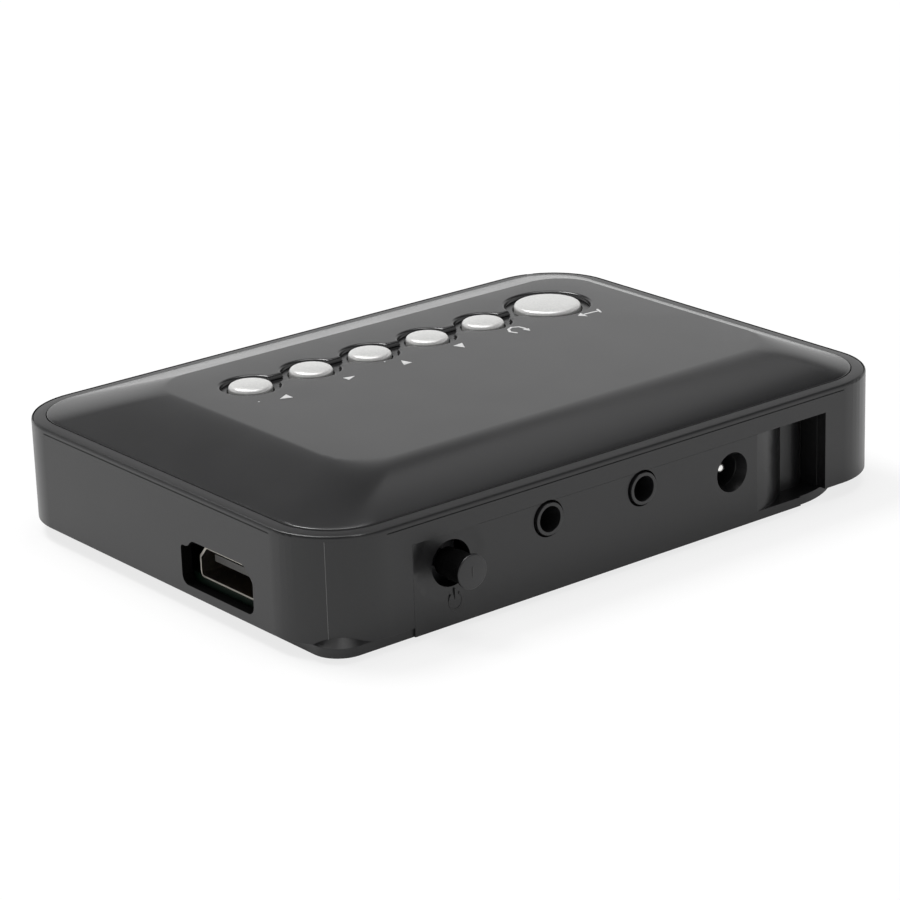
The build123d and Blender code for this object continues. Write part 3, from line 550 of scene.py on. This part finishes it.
def rounded(points, radii, steps=6):
    """A profile with its corners rounded: an arc of the given radius at each."""
    out = [np.asarray(points[0], float)]
    for i in range(1, len(points) - 1):
        p, radius = np.asarray(points[i], float), radii[i - 1]
        a = np.asarray(points[i - 1], float) - p
        b = np.asarray(points[i + 1], float) - p
        a, b = a / np.linalg.norm(a), b / np.linalg.norm(b)
        half = np.arccos(np.clip(a @ b, -1, 1)) / 2
        if radius <= 0 or half > 1.55:
            out.append(p)
            continue
        reach = radius / np.tan(half)
        middle = p + (a + b) / np.linalg.norm(a + b) * radius / np.sin(half)
        s, e = p + a * reach - middle, p + b * reach - middle
        turn = np.arctan2(s[0] * e[1] - s[1] * e[0], s @ e)
        for t in np.linspace(0, turn, steps):
            c, q = np.cos(t), np.sin(t)
            out.append(middle + np.array([c * s[0] - q * s[1], q * s[0] + c * s[1]]))
    out.append(np.asarray(points[-1], float))
    return np.array(out)


def rim_mesh():
    """The rim's section, inset and height, carried round the wall's plan."""
    section = rounded([(2.5, RIM_FOOT), (2.5, RIM_TOP), (0.0, RIM_TOP - 0.22), (0.0, RIM_FOOT)],
                      [0.12, 0.8], 8)
    section = np.concatenate([section, section[:1]])
    insets = np.repeat(section[:, :1], 4, 1)
    loops = plan(insets, WALL_ROUND - section[:, 0])
    return assemble("rim", [weave(lift(loops, section[:, 1]))], 40)


def land_mesh(inset_x, inset_y):
    """A sloping land between the wall's corner arc and the base's tighter one.

    Both are found along rays from the wall's centre of curvature: the wall at
    its own radius, and the base where the ray meets its corner or its sides.
    """
    small = np.array([CASE_X[0] + inset_x, CASE_Y[0] + inset_y]) + BASE_ROUND
    a = np.radians(np.linspace(181, 269, 60))
    ray = np.stack([np.cos(a), np.sin(a)], -1)
    to_small = small - CORNER
    along = ray @ to_small
    off_line = to_small @ to_small - along ** 2
    reach = along + np.sqrt(np.maximum(BASE_ROUND ** 2 - off_line, 0))
    side = np.minimum((WALL_ROUND - inset_x) / np.maximum(-ray[:, 0], 1e-6),
                      (WALL_ROUND - inset_y) / np.maximum(-ray[:, 1], 1e-6))
    touch = CORNER + ray * reach[:, None]
    out = np.where((touch < small).all(1), reach, side)
    keep = out > WALL_ROUND + 0.02
    ray, out = ray[keep], out[keep]
    one = np.ones(len(out))
    rise = BASE_TOP + (out - WALL_ROUND) * 0.8
    rows = [((WALL_ROUND - 0.1) * one, (BASE_TOP - 0.05) * one), ((WALL_ROUND - 0.01) * one, rise),
            (out - 0.02, (BASE_TOP + 0.02) * one), (out - 0.02, (BASE_TOP - 0.05) * one),
            ((WALL_ROUND - 0.1) * one, (BASE_TOP - 0.05) * one)]
    grid = np.stack([np.c_[CORNER + ray * q[:, None], h] for q, h in rows])
    ends = [(grid[:4, i], np.array([[0, 1, 2, 3]])) for i in (0, -1)]
    return assemble("corner_land", [weave(grid, False)] + ends, 40)


place_piece("rim", rim_mesh(), wall_plastic, "case")
place_piece("corner_land", land_mesh(2.2, 0.4), wall_plastic, "case")

# ---------------------------------------------------------------- keys
# Six round keys in silver paint over moulded ABS: a low crown that runs over a
# round shoulder into the side, and below it the wide flange that the lid holds in.


def turned(profile, centre, axis="Z", n=96):
    """A profile of (radius, height) carried round an axis through centre."""
    profile = np.asarray(profile, float)
    a = np.linspace(0, 2 * np.pi, n, endpoint=False)
    r, h = profile[:, :1], np.broadcast_to(profile[:, 1:], (len(profile), n))
    across, along = r * np.cos(a), r * np.sin(a)
    stack = {"Z": [across, along, h], "Y": [across, h, along], "X": [h, across, along]}[axis]
    return weave(np.stack(stack, -1) + np.asarray(centre, float))


def key_mesh(name, x, radius):
    """Crowned top, round shoulder, side and flange, turned about the key's axis."""
    top, flange, low = 24.8, 22.15, 21.35
    wide = radius + 0.12
    r = np.linspace(0, wide - 1.0, 10)
    crown = np.c_[r, top - 0.3 * (r / wide) ** 2]
    side = rounded([crown[-1], (wide, top - 0.5), (wide, flange), (wide + 0.9, flange),
                    (wide + 0.9, low), (0, low)], [0.8, 0.1, 0.1, 0.1], 12)
    return assemble(name, [turned(np.concatenate([crown[:-1], side]), (x, KEY_Y, 0))], 40)


silver, tree, shader = start_material("silver paint on ABS")
# Fine metal flakes in a clear lacquer: pale, soft and slightly sparkling.
place = add(tree, "ShaderNodeTexCoord").outputs["Object"]
flake = add(tree, "ShaderNodeTexVoronoi", Vector=place, Scale=1000 / 0.3)
shade = ramp(tree, flake.outputs["Color"], [(0.0, "#cfcfce"), (1.0, "#dcdcda")])
tree.links.new(shade, shader.inputs["Base Color"])
grain = add(tree, "ShaderNodeTexNoise", Vector=place, Scale=1000 / 0.25)
bump = add(tree, "ShaderNodeBump", Height=grain.outputs["Fac"], Distance=0.000001)
tree.links.new(bump.outputs[0], shader.inputs["Normal"])
shader.inputs["Metallic"].default_value = 0.35
shader.inputs["Roughness"].default_value = 0.33

for i, (x, radius, _) in enumerate(KEYS):
    small = i < 5
    node = f"key_cap_{i + 1}" if small else "enter_key_cap"
    body = f"key_{i + 1}" if small else "enter_key"
    name = f"silver_key_{i + 1}" if small else "silver_enter_key"
    place_piece(name, key_mesh(name, x, radius), silver, body, [node])

# ---------------------------------------------------------------- printed marks
# Screen-printed white signs on the lid beside the keys: four arrowheads, a
# return arrow, an enter arrow and two small dots.
ink, tree, shader = start_material("white screen-print ink")
place = add(tree, "ShaderNodeTexCoord").outputs["Object"]
patchy = add(tree, "ShaderNodeTexNoise", Vector=place, Scale=1000 / 0.4, Detail=2.0)
shade = ramp(tree, patchy.outputs["Fac"], [(0.3, "#b9b9b9"), (0.7, "#d2d2d2")])
tree.links.new(shade, shader.inputs["Base Color"])
shader.inputs["Roughness"].default_value = 0.5


def printed(outline, thickness=0.03):
    """A flat sign just proud of the lid: its face and a thin edge down to the lid."""
    outline = np.asarray(outline, float)
    face, tris = fill(outline, [], TOP_Z + thickness)
    sides = np.stack([np.c_[outline, np.full(len(outline), h)]
                      for h in (TOP_Z + thickness, TOP_Z - 0.02)])
    return [(face, tris), weave(sides)]


def stroke(points, width):
    """Outline of a line of the given width along open points."""
    p = np.asarray(points, float)
    d = np.gradient(p, axis=0)
    d /= np.linalg.norm(d, axis=1, keepdims=True)
    side = np.stack([-d[:, 1], d[:, 0]], -1) * width / 2
    return np.concatenate([p + side, (p - side)[::-1]])


signs = []
for shape in ([(-31.16, 9.74), (-29.03, 10.94), (-29.12, 8.84)],
              [(-16.77, 11.22), (-14.63, 10.65), (-16.69, 9.64)],
              [(-3.7, 11.84), (-4.88, 9.5), (-3.03, 9.62)],
              [(7.91, 11.87), (10.13, 12.09), (8.87, 9.73)]):
    signs += printed(shape)
turn_back = np.array([(20.79, 9.63), (20.3, 11.1), (21.05, 12.41), (22.13, 12.92),
                      (23.31, 12.25), (23.49, 11.09), (23.42, 10.4)])
signs += printed(stroke(turn_back, 0.5))
signs += printed([(22.75, 10.5), (24.05, 10.35), (23.25, 9.05)])
signs += printed(stroke([(36.3, 9.72), (38.0, 9.62), (39.65, 9.48)], 0.45))
signs += printed([(36.54, 10.75), (36.2, 8.35), (35.15, 9.85)])
signs += printed(stroke([(39.45, 8.5), (39.9, 9.5), (40.25, 10.45)], 0.4))
for x, y in ((-34.6, 11.0), (-6.2, 13.2)):
    signs += printed(circle(x, y, 0.16, 12))
place_piece("key_signs", assemble("key_signs", signs), ink, "case")

# ---------------------------------------------------------------- power button
# Black push cap, turned about its own axis: its side is drawn in behind the
# face, a narrower neck runs into the case, and a short raised bar marks the face.
button_axis = (BUTTON[0], 0, BUTTON[1])
cap_plastic = moulded("black ABS button", "#19191a", 0.34, 0.4, 0.003, 0.15, 1.5)
profile = rounded([(0, -47.42), (2.9, -47.42), (2.85, -46.9), (2.5, -46.2), (2.5, -43.0),
                   (2.3, -42.9), (2.3, -40.7), (0, -40.7)], [0.2, 0.1, 0.6, 0.05, 0.05, 0.1])
pill = np.array([(0.16, -47.3), (0.16, -47.46), (0.11, -47.5), (0, -47.5)])
bar = turned(pill, button_axis, "Y", 32)
bar[0][:, 2] = BUTTON[1] + (bar[0][:, 2] - BUTTON[1]) * 5.5
cap = assemble("push_cap", [turned(profile, button_axis, "Y"), bar], 40)
cap = place_piece("push_cap", cap, cap_plastic, "power_button",
                  ["power_button_cap"])
# painted shade: the cap's side takes the near-black plastic, its face keeps the cap's own
shade_within(cap, hole_shade_plastic, (-41, -47.2, 7), (-32, -38, 16), 1)

# ---------------------------------------------------------------- parting line
# Where the mould's two halves met on the wall's near corner: a rib of black ABS
# flash, painted pale as the highlight along it, that stands out by LINE_HIGH mm.
LINE_HIGH, LINE_Z = 0.06, (3.2, 19.6)
painted_highlight_flash = moulded("black ABS flash, painted pale as its highlight", "#5a5a5a", 0.4, 0.5, 0.001, 0.1, 1.5)
a = np.radians(np.linspace(0, 360, 12, endpoint=False))
foot = CORNER + WALL_ROUND * np.array([-0.70711, -0.70711])
rib = np.stack([np.c_[foot[0] + LINE_HIGH * np.cos(a), foot[1] + LINE_HIGH * np.sin(a),
                      np.full(12, h)] for h in LINE_Z])
place_piece("parting_line", assemble("parting_line", [weave(rib)], 80), painted_highlight_flash, "case")

# ---------------------------------------------------------------- power sign
# The ring and bar moulded into the panel below the button: a rib 0.04 mm high
# in the panel's own plastic, polished where the tool was engraved.
SIGN = (-36.5, 4.9)     # x and z of the ring's centre
sign_plastic = moulded("black ABS, polished", "#0c0c0d", 0.18, 0.5, 0.001, 0.1, 1.5)
a = np.radians(np.linspace(125, 415, 32))
ring = np.c_[SIGN[0] + 1.3 * np.cos(a), SIGN[1] + 1.45 * np.sin(a)]
ribs = []
for line in (ring, np.array([(SIGN[0], SIGN[1] + h) for h in (0.3, 1.2, 2.1)])):
    outline = stroke(line, 0.34)
    face, tris = fill(outline, [], 0.0)
    face = np.c_[face[:, 0], np.full(len(face), PANEL_Y - 0.04), face[:, 1]]
    sides = np.stack([np.c_[outline[:, 0], np.full(len(outline), y), outline[:, 1]]
                      for y in (PANEL_Y - 0.04, PANEL_Y + 0.03)])
    ribs += [(face, tris), weave(sides)]
place_piece("power_sign", assemble("power_sign", ribs, 30), sign_plastic, "case")

# ---------------------------------------------------------------- sockets
# Black moulded socket bodies with plated parts inside.  The two round ones stand
# a little out of the panel, and the supply socket's pin has a domed tip.
JACKS, JACK_Z = (-17.1, 3.0), 13.55     # the round sockets' axes
socket_plastic = moulded("black socket nylon", "#1a1a1b", 0.3, 0.5, 0.004, 0.15)


def widen_mouth(work):
    """Bring the nose 0.9 mm out and open its mouth, tapering down to the bore."""
    for v in work.verts:
        x, y, z = np.array(v.co) * 1000
        for centre in JACKS:
            reach = np.hypot(x - centre, z - JACK_Z)
            if y < -41.6 and reach < 3.0:
                v.co.y -= 0.0009
            if y < -41.9 and reach < 2.0:
                v.co.x = (centre + (x - centre) * 2.15 / reach) / 1000
                v.co.z = (JACK_Z + (z - JACK_Z) * 2.15 / reach) / 1000


for node in ("audio_socket_body", "component_socket_body"):
    from_solid(node, node.replace("body", "moulding"), socket_plastic, "case", 0.08,
               widen_mouth)
from_solid("supply_socket_body", "supply_socket_moulding", socket_plastic, "case", 0.15)


def plated(name, colour, rough):
    """Plated metal with a faint rolled grain across 0.3 mm."""
    made, tree, shader = start_material(name)
    place = add(tree, "ShaderNodeTexCoord").outputs["Object"]
    grain = add(tree, "ShaderNodeTexNoise", Vector=place, Scale=1000 / 0.3, Detail=2.0)
    dark = [c * 0.9 for c in tone(colour)[:3]]
    shade = add(tree, "ShaderNodeMix", {"data_type": "RGBA"}, _0=grain.outputs["Fac"],
                _6=(*dark, 1), _7=tone(colour))
    tree.links.new(shade.outputs[2], shader.inputs["Base Color"])
    dull = add(tree, "ShaderNodeMapRange", Value=grain.outputs["Fac"],
               _3=rough - 0.05, _4=rough + 0.05)
    tree.links.new(dull.outputs[0], shader.inputs["Roughness"])
    shader.inputs["Metallic"].default_value = 1.0
    return made


nickel = plated("nickel plate", "#aaa69e", 0.3)
bright = plated("bright nickel", "#f6f5f2", 0.2)
tip = rounded([(0, -39.9), (1.0, -39.9), (1.0, -32.0), (0, -32.0)], [0.75, 0.1], 10)
pin = assemble("supply_pin", [turned(tip, (SUPPLY[0], 0, SUPPLY[1]), "Y")], 40)
place_piece("supply_pin", pin, bright, "case", ["supply_socket_pin"])
gold = plated("gold plate", "#d9b468", 0.25)
steel = plated("zinc-plated steel", "#b4b6b8", 0.35)
for node in ("hdmi_shell", "usb_shell", "card_socket"):
    from_solid(node, node + "_plate", nickel, "case", 0.08)

# ---------------------------------------------------------------- the other nodes
# Everything under the lid and below the case keeps its solid and gets the
# finish of what it is.
tongue_plastic = moulded("dark glass-filled nylon", "#3a3936", 0.4, 0.4, 0.004, 0.1)
rubber = moulded("black rubber", "#1c1c1c", 0.7, 0.6, 0.02, 0.2)
red_plastic = moulded("red acetal", "#a03028", 0.35, 0.5, 0.003, 0.1)
board_green = moulded("green solder mask", "#071a10", 0.4, 0.8, 0.004, 0.15)
resin = moulded("black epoxy resin", "#262628", 0.5, 0.5, 0.01, 0.2)
cream = moulded("cream nylon", "#cfc9b4", 0.4, 0.5, 0.004, 0.1)
ferrite = moulded("grey ferrite", "#3d3d40", 0.6, 0.6, 0.02, 0.2)
film = moulded("grey ribbon cable", "#b9babd", 0.4, 0.6, 0.004, 0.1)
tint = moulded("dark red acrylic", "#30060a", 0.12, 2.0, 0.001, 0.1)
lens = moulded("milky acrylic", "#a9b4c9", 0.2, 2.0, 0.001, 0.05)
aluminium = plated("extruded aluminium", "#b9bbbe", 0.35)
by_slot = {
    "black_case_plastic": wall_plastic, "black_cover_plastic": cover_plastic,
    "black_base_plastic": wall_plastic, "foot_rubber": rubber, "silver_key_paint": silver,
    "black_button_plastic": cap_plastic, "socket_plastic": socket_plastic,
    "nickel_plate": nickel, "gold_plate": gold, "pale_insulator": tongue_plastic,
    "green_board": board_green, "screw_steel": steel, "switch_plastic": resin,
    "plunger_plastic": red_plastic, "tinted_window": tint, "lamp_lens": lens,
    "chip_resin": resin, "sink_aluminium": aluminium, "can_sleeve": aluminium,
    "coil_ferrite": ferrite, "crystal_can": steel, "header_plastic": cream,
    "ribbon_film": film,
}


def smoothing():
    """Modifier nodes that join a solid's triangles and smooth its round faces."""
    group = bpy.data.node_groups.new("smooth round faces", "GeometryNodeTree")
    group.interface.new_socket("Geometry", in_out="INPUT", socket_type="NodeSocketGeometry")
    group.interface.new_socket("Geometry", in_out="OUTPUT", socket_type="NodeSocketGeometry")
    start = add(group, "NodeGroupInput")
    joined = add(group, "GeometryNodeMergeByDistance", Geometry=start.outputs[0], Distance=2e-6)
    soft = add(group, "GeometryNodeSetShadeSmooth", Geometry=joined.outputs[0])
    angle = add(group, "GeometryNodeInputMeshEdgeAngle")
    sharp = add(group, "FunctionNodeCompare", {"operation": "GREATER_THAN"},
                _0=angle.outputs[0], _1=float(np.radians(35)))
    crisp = add(group, "GeometryNodeSetShadeSmooth", {"domain": "EDGE"},
                Geometry=soft.outputs[0], Selection=sharp.outputs[0])
    crisp.inputs["Shade Smooth"].default_value = False
    end = add(group, "NodeGroupOutput")
    group.links.new(crisp.outputs[0], end.inputs[0])
    return group


joiner = smoothing()
for entry in frame["record"]["subparts"]:
    solid = frame["nodes"][entry["node"]]
    for place in solid.material_slots:
        place.material = by_slot[entry["material_slot"]]
    if not solid.hide_render:
        solid.modifiers.new("smooth", "NODES").node_group = joiner
